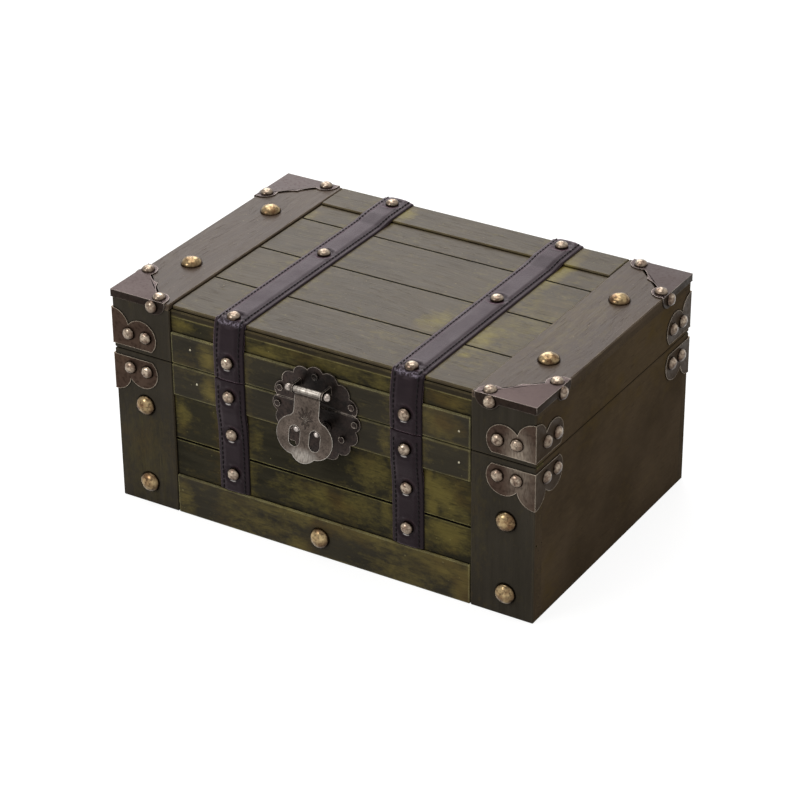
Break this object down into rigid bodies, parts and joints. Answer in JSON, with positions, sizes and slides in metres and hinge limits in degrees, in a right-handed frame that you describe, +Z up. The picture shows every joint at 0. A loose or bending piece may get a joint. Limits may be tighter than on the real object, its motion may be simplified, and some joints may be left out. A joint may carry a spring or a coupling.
{
  "type": "treasure chest box",
  "caption": "Flat-lidded wooden storage chest with nailed leather straps, metal corner guards, dome studs, back hinges and a scalloped front latch with a swinging hasp.",
  "frame": {"origin": "middle of the underside of the base", "axes": "+X to the right of the front, -Y out of the front, +Z up"},
  "size_m": [0.3076, 0.2235, 0.1524],
  "materials": {
    "stained_wood": "olive-brown stain, worn satin",
    "strap_leather": "purple-brown, soft sheen",
    "bronze_sheet": "dark bronze with worn edges",
    "pale_brass": "pale, hammered",
    "antique_brass": "antique, darkened",
    "latch_bronze": "dark bronze with worn edges",
    "hasp_metal": "pewter grey, worn bright",
    "hinge_steel": "dull antique"
  },
  "bodies": {
    "base": {"base_front_lower_plank": "stained_wood", "base_front_upper_plank": "stained_wood", "base_back_board": "stained_wood", "base_bottom_board": "stained_wood", "base_top_rail": "stained_wood", "base_bottom_rail": "stained_wood", "base_left_board": "stained_wood", "base_left_stile": "stained_wood", "base_right_board": "stained_wood", "base_right_stile": "stained_wood", "base_left_strap": "strap_leather", "base_right_strap": "strap_leather", "base_front_left_bracket": "bronze_sheet", "base_front_right_bracket": "bronze_sheet", "base_back_left_bracket": "bronze_sheet", "base_back_right_bracket": "bronze_sheet", "base_bracket_nails": "pale_brass", "base_strap_nails": "pale_brass", "base_studs": "antique_brass", "latch_lower_plate": "latch_bronze", "latch_lower_rivets": "latch_bronze", "latch_posts": "hasp_metal", "hinge_base_leaves": "hinge_steel", "hinge_pins": "hinge_steel", "hinge_base_screws": "hinge_steel"},
    "lid": {"lid_front_board": "stained_wood", "lid_back_board": "stained_wood", "lid_top_panel": "stained_wood", "lid_back_rail": "stained_wood", "lid_back_plank": "stained_wood", "lid_rear_middle_plank": "stained_wood", "lid_front_middle_plank": "stained_wood", "lid_front_plank": "stained_wood", "lid_front_rail": "stained_wood", "lid_left_board": "stained_wood", "lid_left_end_board": "stained_wood", "lid_left_stile": "stained_wood", "lid_right_board": "stained_wood", "lid_right_end_board": "stained_wood", "lid_right_stile": "stained_wood", "lid_left_strap": "strap_leather", "lid_right_strap": "strap_leather", "lid_front_left_bracket": "bronze_sheet", "lid_front_left_cover": "bronze_sheet", "lid_front_right_bracket": "bronze_sheet", "lid_front_right_cover": "bronze_sheet", "lid_back_left_bracket": "bronze_sheet", "lid_back_left_cover": "bronze_sheet", "lid_back_right_bracket": "bronze_sheet", "lid_back_right_cover": "bronze_sheet", "lid_corner_nails": "pale_brass", "lid_strap_nails": "pale_brass", "lid_studs": "antique_brass", "latch_upper_plate": "latch_bronze", "latch_upper_rivets": "latch_bronze", "latch_pin": "hasp_metal", "hinge_lid_leaves": "hinge_steel", "hinge_lid_screws": "hinge_steel"},
    "hasp": {"latch_hasp": "hasp_metal"}
  },
  "joints": [
    {"name": "lid_hinge", "type": "hinge", "parent": "base", "child": "lid", "pos_m": [0, 0.1021, 0.107], "axis": [-1, 0, 0], "range_deg": [0, 105]},
    {"name": "hasp_hinge", "type": "hinge", "parent": "lid", "child": "hasp", "pos_m": [0, -0.109, 0.1203], "axis": [-1, 0, 0], "range_deg": [-9.5, 150]}
  ]
}
